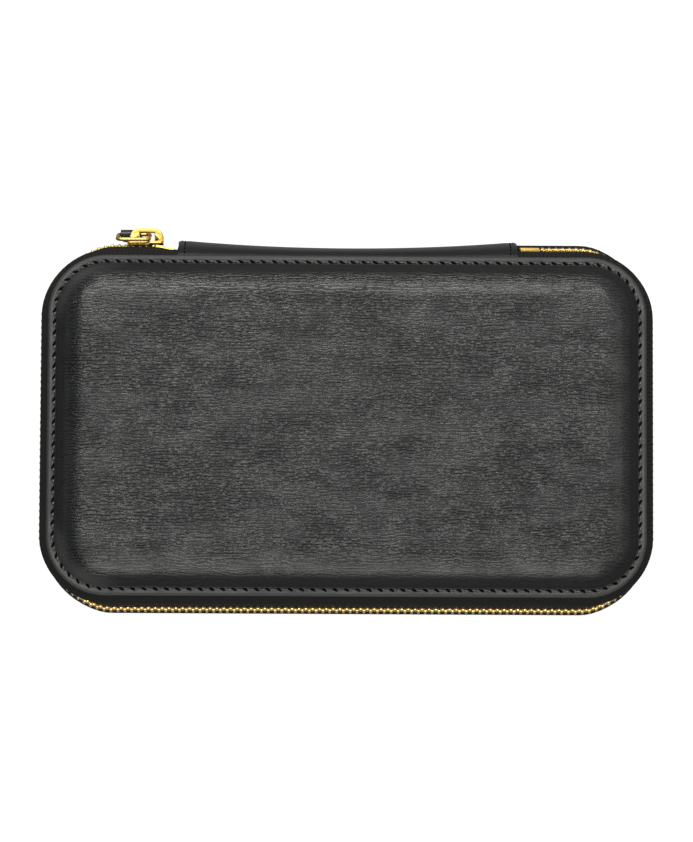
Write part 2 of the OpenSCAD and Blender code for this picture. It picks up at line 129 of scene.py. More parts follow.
# Spine
SPINE_T = 1.4
SPINE_OUT = 7.2
SPINE_DIP = 2.8
SPINE_TOP = 12.95
SPINE_POWER = 2.5
END_ROUND_L = 1.8
END_ROUND = 1.3
SPINE_SEAM = 2.45
SEAM_DENT = 0.45
SEAM_DENT_W = 0.55
HEM_L = SPINE_L + 2 * TAPE_GAP - 0.1
HEM_W = 4
HEM_INSET = 0.4
# Shares of the strip's half width: where the hem starts, where the flare to its length starts, the flare's run
HEM_START = 0.86
HEM_FLARE_START = 0.6
HEM_FLARE = 0.15
SPINE_LINING_BACK = SPINE_T + 1.15
SPINE_LINING_T = 0.5

# Slider and pull
LIP_L = 8
LIP_T = 0.8
LIP_CHAMFER = 0.55
RING_W = 11.85
RING_H = 12
RING_CORNER_R = 2
RING_LEAN = math.radians(16)
WIRE_R = 0.75
TAB_NECK = 2.2
TAB_SHIFT = 1.3


# Object and edit mode helpers

def clear_selection():
    if bpy.context.mode != "OBJECT":
        bpy.ops.object.mode_set(mode="OBJECT")
    bpy.ops.object.select_all(action="DESELECT")


def choose(*objects):
    clear_selection()
    for obj in objects:
        obj.select_set(True)
    bpy.context.view_layer.objects.active = objects[0]


def edit(obj, kind="FACE"):
    choose(obj)
    bpy.ops.object.mode_set(mode="EDIT")
    bpy.ops.mesh.select_mode(type=kind)


def edit_all(obj, kind="FACE"):
    edit(obj, kind)
    bpy.ops.mesh.select_all(action="SELECT")


def select_where(obj, kind, test):
    """Leaves obj in edit mode with the vertices, edges or faces whose centre passes the test selected."""
    edit(obj, kind)
    bpy.ops.mesh.select_all(action="DESELECT")
    bpy.ops.object.mode_set(mode="OBJECT")
    mesh = obj.data
    if kind == "VERT":
        for vertex in mesh.vertices:
            vertex.select = test(vertex.co / MM)
    elif kind == "EDGE":
        for edge in mesh.edges:
            ends = [mesh.vertices[i].co for i in edge.vertices]
            edge.select = test((ends[0] + ends[1]) / 2 / MM)
    else:
        for face in mesh.polygons:
            face.select = test(face.center / MM)
    bpy.ops.object.mode_set(mode="EDIT")


def delete_faces(obj, test):
    select_where(obj, "FACE", test)
    bpy.ops.mesh.delete(type="FACE")
    clear_selection()


def cut(obj, point, normal):
    edit_all(obj)
    bpy.ops.mesh.bisect(plane_co=Vector(point) * MM, plane_no=normal)
    clear_selection()


def flip(obj):
    edit_all(obj)
    bpy.ops.mesh.flip_normals()
    clear_selection()


def face_out(obj, way, test):
    """Turns a sheet's faces so that those which pass the test face the given way on the whole."""
    faces = [face for face in obj.data.polygons if test(face.center / MM)]
    if sum(face.normal.dot(way) for face in faces) < 0:
        flip(obj)


def outline_only(plate):
    edit_all(plate)
    bpy.ops.mesh.delete(type="ONLY_FACE")
    clear_selection()


def added(name):
    obj = bpy.context.object
    obj.name = name
    obj.data.name = name
    return obj


def settle():
    """Puts the active object's place, turn and size into its mesh."""
    bpy.ops.object.transform_apply(location=True, rotation=True, scale=True)


def box_block(name, size, place):
    clear_selection()
    bpy.ops.mesh.primitive_cube_add(size=1, location=Vector(place) * MM)
    obj = added(name)
    obj.scale = Vector(size) * MM
    settle()
    return obj


def finish_with(obj, kind, **settings):
    choose(obj)
    modifier = obj.modifiers.new(kind.title(), kind)
    for key, value in settings.items():
        setattr(modifier, key, value)
    bpy.ops.object.modifier_apply(modifier=modifier.name)
    return obj


def round_edges(obj, width, segments=2, angle=30):
    return finish_with(obj, "BEVEL", width=width * MM, segments=segments, limit_method="ANGLE",
                       angle_limit=math.radians(angle))


def thicken(obj, thickness, offset=0):
    return finish_with(obj, "SOLIDIFY", thickness=thickness * MM, offset=offset, use_even_offset=True)


def smooth(obj, angle=40):
    choose(obj)
    bpy.ops.object.shade_smooth_by_angle(angle=math.radians(angle))
    clear_selection()
    return obj


def merged(obj, distance=0.001):
    edit_all(obj)
    bpy.ops.mesh.remove_doubles(threshold=distance * MM)
    bpy.ops.mesh.normals_make_consistent(inside=False)
    clear_selection()
    return obj


def copy_of(obj, name):
    twin = obj.copy()
    twin.data = obj.data.copy()
    twin.name = name
    twin.data.name = name
    bpy.context.collection.objects.link(twin)
    return twin


def joined(name, pieces):
    choose(*pieces)
    if len(pieces) > 1:
        bpy.ops.object.join()
    obj = added(name)
    clear_selection()
    return obj


def scatter(name, model, places):
    """Copies a model to each placing matrix, joins the copies and removes the model."""
    copies = []
    for place in places:
        twin = copy_of(model, name + "_copy")
        twin.data.transform(place)
        copies.append(twin)
    bpy.data.objects.remove(model)
    return joined(name, copies)


def mirror_below(obj, name):
    """A copy turned over the middle plane, for the base half."""
    twin = copy_of(obj, name)
    twin.data.transform(Matrix.Translation((0, 0, 2 * MID * MM)) @ Matrix.Scale(-1, 4, (0, 0, 1)))
    flip(twin)
    return twin


def cad_copy(node, name):
    """A merged copy of a CAD node's mesh."""
    twin = copy_of(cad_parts[node], name)
    twin.parent = None
    twin.matrix_world = Matrix.Identity(4)
    twin.data.materials.clear()
    twin.hide_render = False
    for key in list(twin.keys()):
        del twin[key]
    return merged(twin)


# Paths and outlines

def ease(share):
    """A smooth step from 0 to 1."""
    share = min(1, max(0, share))
    return share * share * (3 - 2 * share)


def along(length, half_x, half_y, radius):
    """Point on a rounded rectangle and the outward angle there, from the middle of the back side towards -X."""
    straight_x = half_x - radius
    straight_y = half_y - radius
    turn = radius * math.pi / 2
    runs = [straight_x, turn, 2 * straight_y, turn, 2 * straight_x, turn, 2 * straight_y, turn, straight_x]
    corners = [(-1, 1), (-1, -1), (1, -1), (1, 1)]
    run = 0
    while run < len(runs) - 1 and length > runs[run]:
        length -= runs[run]
        run += 1
    side = run // 2
    if run % 2:
        angle = math.pi / 2 * (1 + side) + length / radius
        sign_x, sign_y = corners[side]
        return (sign_x * straight_x + radius * math.cos(angle),
                sign_y * straight_y + radius * math.sin(angle), angle)
    starts = [(0, half_y), (-half_x, straight_y), (-straight_x, -half_y), (half_x, -straight_y),
              (straight_x, half_y)]
    steps = [(-1, 0), (0, -1), (1, 0), (0, 1), (-1, 0)]
    return (starts[side][0] + steps[side][0] * length, starts[side][1] + steps[side][1] * length,
            math.pi / 2 * (1 + side))


def path_length(half_x, half_y, radius):
    return 4 * (half_x - radius) + 4 * (half_y - radius) + 2 * math.pi * radius


def placing(x, y, z, angle, turned_over=False, lean=0):
    matrix = Matrix.Translation(Vector((x, y, z)) * MM) @ Matrix.Rotation(angle, 4, "Z")
    matrix = matrix @ Matrix.Rotation(-lean, 4, "Y")
    if turned_over:
        matrix = matrix @ Matrix.Rotation(math.pi, 4, "X")
    return matrix


def rounded_plate(name, half_x, half_y, radius, z):
    clear_selection()
    bpy.ops.mesh.primitive_plane_add(size=2, location=(0, 0, z * MM))
    obj = added(name)
    obj.scale = (half_x * MM, half_y * MM, 1)
    settle()
    edit_all(obj, "VERT")
    bpy.ops.mesh.bevel(offset=radius * MM, affect="VERTICES", segments=CORNER_STEPS)
    clear_selection()
    return obj


def stepped_in(obj, steps):
    """Insets the plate's one face step by step: each step is a distance inwards and a new height."""
    edit_all(obj)
    inward, height = steps[0]
    for next_inward, next_height in steps[1:]:
        bpy.ops.mesh.inset(thickness=(next_inward - inward) * MM, depth=(next_height - height) * MM)
        inward, height = next_inward, next_height
    clear_selection()


# Shader helpers

class Field:
    """A shader socket that takes plain arithmetic."""

    def __init__(self, tree, socket):
        self.tree = tree
        self.socket = socket

    def with_math(self, operation, first, second):
        return add_node(self.tree, "ShaderNodeMath", {"operation": operation}, {0: first, 1: second})

    def __add__(self, other):
        return self.with_math("ADD", self, other)

    def __sub__(self, other):
        return self.with_math("SUBTRACT", self, other)

    def __mul__(self, other):
        return self.with_math("MULTIPLY", self, other)

    def __rsub__(self, other):
        return self.with_math("SUBTRACT", other, self)

    __radd__ = __add__
    __rmul__ = __mul__


def add_node(tree, kind, settings, inputs, output=0):
    node = tree.nodes.new(kind)
    for key, value in settings.items():
        if key == "stops":
            elements = node.color_ramp.elements
            while len(elements) < len(value):
                elements.new(1)
            for element, (position, colour) in zip(elements, value):
                element.position = position
                element.color = colour
        else:
            setattr(node, key, value)
    for key, value in inputs.items():
        if isinstance(value, Field):
            tree.links.new(value.socket, node.inputs[key])
        else:
            node.inputs[key].default_value = value
    return Field(tree, node.outputs[output])


class Finish:
    """A material under construction, with its shader and the patterns that several finishes use."""

    def __init__(self, name):
        self.material = bpy.data.materials.new(name)
        self.material.use_nodes = True
        self.tree = self.material.node_tree
        self.shader = self.tree.nodes["Principled BSDF"]
        self.place = self.add("ShaderNodeTexCoord", {}, {}, "Object")

    def add(self, kind, settings, inputs, output=0):
        return add_node(self.tree, kind, settings, inputs, output)

    def set(self, **values):
        for key, value in values.items():
            socket = self.shader.inputs[key.replace("_", " ")]
            if isinstance(value, Field):
                self.tree.links.new(value.socket, socket)
            else:
                socket.default_value = value

    def dulled(self, share, **values):
        """Mixes a share of a second, duller shader into the finish."""
        glossy = self.shader
        self.shader = self.tree.nodes.new("ShaderNodeBsdfPrincipled")
        self.set(**values)
        self.mix_in(share, glossy, Field(self.tree, self.shader.outputs[0]))

    def mix_in(self, share, shader, other):
        """Sends a shader with a share of another one to the material's output."""
        first = Field(self.tree, shader.outputs[0])
        both = self.add("ShaderNodeMixShader", {}, {0: share, 1: first, 2: other})
        self.tree.links.new(both.socket, self.tree.nodes["Material Output"].inputs[0])

    def scaled(self, factors, place=None):
        return self.add("ShaderNodeMapping", {}, {"Vector": place or self.place, "Scale": factors})

    def noise(self, scale, detail=2, place=None, output=0):
        return self.add("ShaderNodeTexNoise", {},
                        {"Vector": place or self.place, "Scale": scale, "Detail": detail}, output)

    def cells(self, scale, place=None):
        """Distance from the borders of irregular cells."""
        return self.add("ShaderNodeTexVoronoi", {"feature": "DISTANCE_TO_EDGE"},
                        {"Vector": place or self.place, "Scale": scale})

    def waves(self, pitch, phase):
        """Long waves across Y, from -1 to 1, that the phase bends and breaks."""
        y = self.add("ShaderNodeSeparateXYZ", {}, {0: self.place}, 1)
        turn = y * (2 * math.pi / (pitch * MM)) + phase
        return self.add("ShaderNodeMath", {"operation": "SINE"}, {0: turn})

    def bent(self, scale, amount):
        """The place shifted a little by a noise, so that patterns wander."""
        shift = self.noise(scale, output=1)
        return self.add("ShaderNodeVectorMath", {"operation": "MULTIPLY_ADD"},
                        {0: shift, 1: (amount,) * 3, 2: self.place})

    def eased(self, value, low, high, out_low=0, out_high=1):
        return self.add("ShaderNodeMapRange", {"interpolation_type": "SMOOTHSTEP"},
                        {0: value, 1: low, 2: high, 3: out_low, 4: out_high})

    def height_from_middle(self):
        z = self.add("ShaderNodeSeparateXYZ", {}, {0: self.place}, 2)
        return self.add("ShaderNodeMath", {"operation": "ABSOLUTE"}, {0: z - MID * MM})

    def left_corner(self):
        """A distance that grows towards the two corners on the left."""
        x = self.add("ShaderNodeSeparateXYZ", {}, {0: self.place}, 0)
        y = self.add("ShaderNodeSeparateXYZ", {}, {0: self.place}, 1)
        return self.add("ShaderNodeMath", {"operation": "ABSOLUTE"}, {0: y}) - x

    def mixed(self, share, first, second):
        return self.add("ShaderNodeMix", {"data_type": "RGBA"}, {0: share, 6: first, 7: second}, 2)

    def bump(self, height, depth, strength=1):
        return self.add("ShaderNodeBump", {},
                        {"Height": height, "Distance": depth * MM, "Strength": strength})


def grey(value, warm=0):
    return (value * (1 + warm), value, value * (1 - warm), 1)


# Materials

def grained_leather():
    finish = Finish("grained_leather")
    drawn_out = finish.scaled((0.3, 1, 1))
    height = finish.height_from_middle()
    on_plateau = finish.eased(height, 0.0185, 0.0225)
    shown = finish.eased(height, 0.0165, 0.0215)
    bend = finish.noise(430, 2, finish.scaled((0.55, 1, 1)))
    drift = finish.noise(70, 1)
    waves = finish.waves(GRAIN_PITCH, bend * 14 + drift * 14) * 0.6
    waves = waves + finish.waves(GRAIN_PITCH * 0.7, drift * 20 - bend * 18) * 0.5
    fainter = finish.eased(finish.noise(150, 2, drawn_out), 0.3, 0.62, 0.55, 1)
    crease = 1 - (1 - finish.eased(waves, -0.55, 0.6)) * fainter * (shown * 0.75 + 0.25)
    pores = finish.eased(finish.cells(1700), 0.0, 0.3)
    patches = finish.noise(40, 3)
    warmth = finish.eased(finish.noise(18, 1), 0.45, 0.7)
    blotches = finish.eased(finish.noise(110, 2), 0.3, 0.7, 0.62, 1)
    # The grain's creases are coloured darker than its ridges: the grain's pattern, with painted shade in the
    # creases.
    tone = finish.mixed(crease, grey(0.0004, -0.03), grey(0.007, -0.09))
    # The shoulder and flange take one flat tone of their own, set apart from the plateau's for how each zone is
    # lit: painted light and shade by zone.
    tone = finish.mixed(on_plateau, grey(0.012, -0.04), tone)
    tone = finish.mixed(warmth * 0.3, tone, grey(0.018, 0.06))
    relief = (crease + pores * 0.1) * finish.eased(height, 0.0165, 0.0225, 0.35, 1)
    grain = finish.bump(relief, 0.13)
    finish.set(Base_Color=tone, Roughness=finish.eased(height, 0.0195, 0.0222, 0.5, 0.25) + patches * 0.09,
               Normal=grain)
    # Towards the two left corners the painted shade by the seam is left out, so that they read as lit: painted
    # light.
    lit_left_corners = finish.eased(finish.left_corner(), 0.14, 0.153, 0, 0.85)
    # Along the shoulder's foot by the seam a darker, duller shader is mixed in: painted shade.
    on_shoulder = finish.eased(height, 0.0146, 0.0153, 0.05, 1) * finish.eased(height, 0.0228, 0.0193)
    seam_shade = (1 - lit_left_corners) * on_shoulder
    # In the grain's creases and pores the darker, duller shader is mixed in: painted shade in these recesses.
    crease_shade = (1 - crease) * finish.eased(height, 0.0235, 0.0249, 0.3, 0.78)
    pore_shade = (1 - pores) * finish.eased(height, 0.0215, 0.0245, 0, 0.4)
    # What is not glossy takes the darker, duller shader below: painted shade by the seam, in the creases and
    # pores, and random dull blotches.
    glossy = (1 - seam_shade * 0.92) * (1 - crease_shade) * (1 - pore_shade) * blotches
    shade = finish.mixed(crease, grey(0.001, -0.08), grey(0.0065, -0.08))
    finish.dulled(1 - glossy, Base_Color=shade, Roughness=0.6, Specular_IOR_Level=0.08, Normal=grain)
    return finish.material


def edge_paint():
    finish = Finish("edge_paint")
    ripple = finish.noise(900, 2)
    finish.set(Base_Color=finish.mixed(ripple, grey(0.006), grey(0.014)), Roughness=0.5 + ripple * 0.1,
               Normal=finish.bump(ripple, 0.05, 0.5), Specular_IOR_Level=0.2)
    return finish.material


def smooth_leather():
    finish = Finish("smooth_leather")
    wandering = finish.bent(300, 0.0008)
    pores = finish.eased(finish.cells(1900, wandering), 0.0, 0.3)
    folds = finish.noise(120, 3, finish.scaled((0.25, 1, 1)))
    finish.set(Base_Color=finish.mixed(folds, grey(0.004, -0.06), grey(0.012, -0.06)),
               Roughness=0.24 + folds * 0.14, Specular_IOR_Level=0.22,
               Normal=finish.bump(pores * 0.3 + folds, 0.1, 0.6))
    by_edge = finish.eased(finish.height_from_middle(), 0.008, 0.0115, 0, 0.8)
    finish.dulled(by_edge, Base_Color=grey(0.006, -0.06), Roughness=0.6, Specular_IOR_Level=0.05)
    return finish.material


def waxed_thread():
    finish = Finish("waxed_thread")
    twist = finish.add("ShaderNodeTexWave", {"bands_direction": "DIAGONAL"},
                       {"Vector": finish.place, "Scale": 900, "Distortion": 1.5})
    finish.set(Base_Color=finish.mixed(twist, grey(0.01), grey(0.04)), Roughness=0.36 + twist * 0.2,
               Normal=finish.bump(twist, 0.04, 0.6))
    return finish.material


def hole_shade():
    # Near-black and matte: the shade inside the awl's slits, painted on flat discs.
    finish = Finish("hole_shade")
    fibre = finish.noise(1800, 2)
    finish.set(Base_Color=finish.mixed(fibre, grey(0.0005), grey(0.003)), Roughness=0.9 + fibre * 0.08,
               Normal=finish.bump(fibre, 0.05, 0.5), Specular_IOR_Level=0.0)
    return finish.material


def twill_tape():
    finish = Finish("twill_tape")
    weave = finish.add("ShaderNodeTexWave", {"bands_direction": "DIAGONAL"},
                       {"Vector": finish.place, "Scale": 420, "Distortion": 0.6, "Detail": 1})
    yarn = finish.add("ShaderNodeTexWave", {"bands_direction": "Z"}, {"Vector": finish.place, "Scale": 560})
    cloth = weave * 0.65 + yarn * 0.35
    fuzz = finish.noise(1500, 2)
    finish.set(Base_Color=finish.mixed(cloth, grey(0.0013), grey(0.0065)), Roughness=0.82 + fuzz * 0.1,
               Normal=finish.bump(cloth + fuzz * 0.4, 0.12, 0.7), Specular_IOR_Level=0.12)
    return finish.material


def golden_brass(name, low, high, roughness):
    finish = Finish(name)
    cloud = finish.noise(160, 3)
    scratch = finish.noise(900, 2, finish.scaled((0.15, 1, 1)))
    tone = finish.mixed(cloud, low, high)
    finish.set(Base_Color=tone, Metallic=1.0, Roughness=roughness + scratch * 0.12,
               Normal=finish.bump(scratch, 0.005, 0.4))
    return finish.material


def grey_board():
    finish = Finish("grey_board")
    fibre = finish.noise(700, 4, finish.scaled((0.3, 1, 1)))
    finish.set(Base_Color=finish.mixed(fibre, (0.25, 0.19, 0.13, 1), (0.42, 0.34, 0.24, 1)),
               Roughness=0.85 + fibre * 0.1, Normal=finish.bump(fibre, 0.1, 0.5))
    return finish.material


def soft_lining():
    finish = Finish("soft_lining")
    nap = finish.noise(1400, 3)
    strokes = finish.noise(60, 2, finish.scaled((0.5, 1, 1)))
    finish.set(Base_Color=finish.mixed(nap * 0.6 + strokes * 0.4, grey(0.008), grey(0.03)),
               Roughness=0.86 + nap * 0.1, Normal=finish.bump(nap, 0.12, 0.7), Sheen_Weight=0.06)
    return finish.material


def flocked_plastic():
    finish = Finish("flocked_plastic")
    nap = finish.noise(2200, 2)
    bands = finish.noise(45, 2)
    finish.set(Base_Color=finish.mixed(nap * 0.5 + bands * 0.5, grey(0.01), grey(0.035)),
               Roughness=0.9 + nap * 0.08, Normal=finish.bump(nap, 0.15, 0.8), Sheen_Weight=0.1)
    return finish.material


LEATHER = grained_leather()
EDGE = edge_paint()
SMOOTH_LEATHER = smooth_leather()
THREAD = waxed_thread()
HOLE_SHADE = hole_shade()
TWILL = twill_tape()
BRASS = golden_brass("golden_brass", (0.72, 0.53, 0.19, 1), (0.88, 0.7, 0.32, 1), 0.3)
# The slider, its bridge, the ring and the stop bars take a much darker copy of the brass, so that the strong
# back window does not blow them out: painted shade.
SHADED_SATIN_BRASS = golden_brass("shaded_satin_brass", (0.36, 0.225, 0.05, 1), (0.5, 0.335, 0.095, 1), 0.36)
BOARD = grey_board()
LINING = soft_lining()
FLOCK = flocked_plastic()


def dress(obj, slot, body, nodes, *materials):
    """Gives a finished piece its material, puts it on the body it rides on and hides the CAD nodes it stands
    for. The slot is not used.
    """
    shares = [face.material_index for face in obj.data.polygons]
    obj.data.materials.clear()
    for material in materials:
        obj.data.materials.append(material)
    obj.data.polygons.foreach_set("material_index", shares)
    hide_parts(*nodes)
    if body:
        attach(obj, body)
    return obj


# Leather halves

def shoulder(depth, steps=16, first=4):
    """Quarter round from the flange to the plateau, as distances inwards and heights."""
    radius = RISE - depth
    turns = [math.radians(first + (90 - first) * i / steps) for i in range(steps + 1)]
    return [(FLANGE_W + RISE - radius * math.cos(a), radius * math.sin(a)) for a in turns]


def inside_edge(point):
    """Distance of a point inwards from the flange's edge."""
    x = abs(point.x) / MM - (HALF_W - CORNER_R)
    y = abs(point.y) / MM - (HALF_D - CORNER_R)
    return CORNER_R - (math.hypot(x, y) if x > 0 and y > 0 else max(x, y))


def soft_shoulder(inward):
    """Height over the flange of the leather's outer face, which rises from the stitches in one soft curve."""
    share = min(1, (inward - SHOULDER_START) / SHOULDER_W)
    return RISE * (1 - (1 - share) ** SHOULDER_POWER)


def cover(name):
    """One leather half: rim, stitch groove and shoulder stepped in to the plateau, modelled a little raised."""
    raised = 0.25
    rim = [(0, -0.35), (0.12, -0.1), (0.35, 0.1), (0.65, 0.21), (1.0, 0.25), (1.6, 0.25), (1.9, 0.18)]
    groove = [(2.2, 0.04), (2.6, -0.02), (2.9, 0.1)]
    foot = [(3.15, 0.3), (3.4, 0.4), (3.6, 0.5)]
    rise = [(inward, height + raised) for inward, height in shoulder(0)]
    flat = [(rise[-1][0] + step, RISE + raised) for step in (0.8, 1.6, 2.4, 3.2, 4, 5)]
    plate = rounded_plate(name, HALF_W, HALF_D, CORNER_R, MID + FLANGE_H + rim[0][1])
    stepped_in(plate, rim + groove + foot + rise + flat)
    plate.data.transform(Matrix.Translation((0, 0, -raised * MM)))
    outer = len(plate.data.vertices)
    thicken(plate, LEATHER_T, -1)
    for vertex in plate.data.vertices[:outer]:
        inward = inside_edge(vertex.co)
        if inward > SHOULDER_START:
            vertex.co.z = (MID + FLANGE_H + soft_shoulder(inward)) * MM
    for face in plate.data.polygons:
        if inside_edge(face.center) < RIM_W:
            face.material_index = 1
    return smooth(plate)


def inner_shell(name, depth, thickness, edge_in):
    """Lining under the leather, with its own flat flange at the seam."""
    low = TAPE_H - TAPE_T / 2 - 0.05 - FLANGE_H
    plate = rounded_plate(name, HALF_W - edge_in, HALF_D - edge_in, CORNER_R - edge_in, MID + FLANGE_H + low)
    rise = shoulder(depth)
    foot = [(edge_in, low), (rise[0][0] - 0.3, low), (rise[0][0] - 0.05, low + 0.3)]
    flat = [(FLANGE_W + RISE + 0.6, RISE - depth), (FLANGE_W + RISE + 3, RISE - depth)]
    stepped_in(plate, foot + rise + flat)
    thicken(plate, thickness, -1)
    return smooth(plate)


def stitch(name, length, width, slant, height):
    """One thread stitch along Y with its ends diving into the leather."""
    clear_selection()
    bpy.ops.mesh.primitive_cylinder_add(vertices=6, radius=width / 2 * MM, depth=length * MM,
                                        rotation=(math.pi / 2, 0, 0), end_fill_type="NGON")
    obj = added(name)
    settle()
    select_where(obj, "EDGE", lambda p: abs(p.y) < 0.01)
    bpy.ops.mesh.subdivide(number_cuts=4)
    clear_selection()
    for vertex in obj.data.vertices:
        share = vertex.co.y / (length / 2 * MM)
        vertex.co.x += math.tan(slant) * vertex.co.y
        vertex.co.z += (height - 2.2 * height * share ** 4) * MM
    return obj


def slit_shade_disc(name, length, width, turn, height):
    """A flat dark disc at the slanted slit that the awl leaves beside each stitch: painted shade in the slit.
    """
    clear_selection()
    bpy.ops.mesh.primitive_circle_add(vertices=8, radius=1, fill_type="NGON")
    obj = added(name)
    obj.scale = (width / 2 * MM, length / 2 * MM, 1)
    obj.rotation_euler.z = turn
    obj.location = (0, 0, height * MM)
    settle()
    return obj


def seam(name):
    half_x = HALF_W - STITCH_INSET
    half_y = HALF_D - STITCH_INSET
    radius = CORNER_R - STITCH_INSET
    loop = path_length(half_x, half_y, radius)
    count = round(loop / STITCH_PITCH)
    thread = stitch("thread_stitch", length=2.9, width=0.7, slant=math.radians(9), height=0.2)
    thread.data.transform(Matrix.Translation((0.1 * MM, STITCH_PITCH / 2 * MM, 0)))
    # Each stitch gets a dark disc at its slit: painted shade.
    slit = slit_shade_disc("slit", length=2.8, width=0.95, turn=-math.radians(34), height=0.36)
    for face in slit.data.polygons:
        face.material_index = 1
    slit.data.materials.append(THREAD)
    slit.data.materials.append(HOLE_SHADE)
    model = joined("stitch_model", [thread, slit])
    places = []
    for i in range(count):
        x, y, angle = along((i + 0.5) * loop / count, half_x, half_y, radius)
        places.append(placing(x, y, MID + FLANGE_H - STITCH_SINK, angle))
    return smooth(scatter(name, model, places), 60)


# Zip

def flange_outline(outward):
    return HALF_W + outward, HALF_D + outward, CORNER_R + outward


def tape_outlines():
    """Outlines from under the flange over the tape's bow to the zip path, each with its height."""
    outlines = [(flange_outline(-4), TAPE_H), (flange_outline(-0.75), TAPE_H)]
    outlines.append((flange_outline(-0.3), TAPE_H - 0.25))
    steps = 4
    for i in range(1, steps + 1):
        share = i / steps
        outward = TAPE_BOW * math.sin(share * math.pi / 2)
        outlines.append((flange_outline(outward), TAPE_H - 0.5 + (BOW_H - TAPE_H + 0.5) * share))
    for i in range(1, steps + 1):
        share = i / steps
        pairs = zip(flange_outline(TAPE_BOW), (ZIP_X, ZIP_Y, ZIP_CORNER_R))
        outline = [bow + (path - bow) * ease(share) for bow, path in pairs]
        outlines.append((outline, BOW_H + (GRIP_H - BOW_H) * share))
    outlines.append(((ZIP_X, ZIP_Y, ZIP_CORNER_R), TAPE_EDGE))
    return outlines


def lid_tape_sheet(name):
    """Band from under the flange to the zip, bridged through rounded outlines."""
    levels = tape_outlines()
    loops = []
    for outline, height in levels:
        plate = rounded_plate("loop", *outline, MID + height)
        outline_only(plate)
        loops.append(plate)
    sheet = joined(name, loops)
    ring = len(sheet.data.vertices) // len(levels)
    for i in range(len(levels) - 1):
        edit(sheet, "EDGE")
        bpy.ops.mesh.select_all(action="DESELECT")
        bpy.ops.object.mode_set(mode="OBJECT")
        for edge in sheet.data.edges:
            homes = {v // ring for v in edge.vertices}
            edge.select = len(homes) == 1 and homes <= {i, i + 1}
        bpy.ops.object.mode_set(mode="EDIT")
        bpy.ops.mesh.bridge_edge_loops()
    edit_all(sheet)
    bpy.ops.mesh.normals_make_consistent(inside=False)
    clear_selection()
    tongue_end = SPINE_L / 2 - TONGUE_L
    for x in (TAPE_START, tongue_end):
        for sign in (-1, 1):
            cut(sheet, (sign * x, 0, 0), (1, 0, 0))
    for i in range(1, TWIST_STEPS + 1):
        for sign in (-1, 1):
            cut(sheet, (sign * (TAPE_START + i * TWIST_STEP), 0, 0), (1, 0, 0))
    delete_faces(sheet, lambda p: p.y > 0 and abs(p.x) < tongue_end)
    delete_faces(sheet, lambda p: p.y > 0 and abs(p.x) < TAPE_START and p.z > MID + TONGUE_H)
    return sheet


def split_line(sign):
    """Point and normal of the upright plane that parts the lid tape from its twisting ends."""
    x, y, angle = along(ZIP_X - ZIP_CORNER_R + ZIP_CORNER_R * LID_SPLIT, ZIP_X, ZIP_Y, ZIP_CORNER_R)
    flange_x, flange_y, angle = along(HALF_W - CORNER_R + CORNER_R * LID_SPLIT, HALF_W, HALF_D, CORNER_R)
    run_x, run_y = x - flange_x, y - flange_y
    return Vector((-sign * x, y, 0)), Vector((sign * run_y, run_x, 0)).normalized()


def on_long_side(y):
    """1 along a long side, 0 along the short ones, eased through the corners."""
    return ease((abs(y) - (HALF_D - CORNER_R)) / CORNER_R * 1.2)


def right_of_spine(x):
    """0 along the spine and left of it, 1 right of it."""
    return ease((x - SPINE_L / 2 + TONGUE_L) / TONGUE_L)


def zip_lean(x, y):
    """How far the chain leans out at its lower side: not where the slider holds it upright."""
    return ZIP_LEAN * on_long_side(y) * (1 if y < 0 else right_of_spine(x))


def in_corner(way):
    """1 in the middle of a corner, 0 along the sides."""
    return (2 * abs(way.x * way.y)) ** CORNER_POWER


def settled(x, y):
    """The zip path as it lies: drawn in, but pushed out on the short sides, and tucked in by the slider."""
    way = way_out(x, y)
    out_side = ease(1 - math.atan2(abs(way.y), abs(way.x)) / SIDE_TURN)
    pull = CORNER_PULL * in_corner(way) - SIDE_PUSH * out_side
    x, y = x - way.x * pull, y - way.y * pull
    if y < 0:
        return x, y + FRONT_PULL * on_long_side(y)
    if x > 0:
        return x, y - BACK_PULL * on_long_side(y)
    return x, y - LEFT_TUCK * ease((x + STOP_START + TUCK_RUN) / TUCK_RUN)


def way_out(x, y):
    """Direction outwards from the case at a place near its edge."""
    past_x = abs(x) - (HALF_W - CORNER_R)
    past_y = abs(y) - (HALF_D - CORNER_R)
    way = Vector((max(past_x, 0), max(past_y, 0), 0))
    return Vector((math.copysign(way.x, x), math.copysign(way.y, y), 0)).normalized()


def base_bulge(x, y, height):
    """How much further the base tape bows out under the chain than the lid tape does over it."""
    way = way_out(x, y)
    round_corner = math.atan2(abs(way.x), abs(way.y))
    straight = ease(1 - round_corner / BELLY_TURN)
    if y < 0:
        belly = FRONT_BELLY
    else:
        left_of_spine = right_of_spine(-x) * ease((x - LEFT_BELLY_END) / LEFT_BELLY_RUN)
        belly = BACK_BELLY * right_of_spine(x) + LEFT_BELLY * left_of_spine
    share = min(1, max(0, (abs(height) - GRIP_H / 2) / (TAPE_H - GRIP_H / 2)))
    return belly * straight * math.sin(math.pi * share)


def settle_tape(sheet, below):
    """Moves a tape's points to where the settled zip path and the tape's bow take them."""
    for vertex in sheet.data.vertices:
        x, y, z = vertex.co / MM
        way = way_out(x, y)
        height = z - MID
        near = ease((BOW_H - abs(height)) / (BOW_H - GRIP_H))
        lean = zip_lean(x, y) * near
        held = math.copysign(min(abs(height), GRIP_H), height)
        out = -held * math.sin(lean) + (base_bulge(x, y, height) if below else 0)
        bowed = ease((TAPE_H - abs(height)) / (TAPE_H - BOW_H)) * (1 - near)
        out -= BOW_PULL * bowed * in_corner(way)
        path_x, path_y = settled(x, y)
        z -= held * (1 - math.cos(lean))
        place = Vector((x + (path_x - x) * near, y + (path_y - y) * near, z))
        vertex.co = (place + way * out) * MM


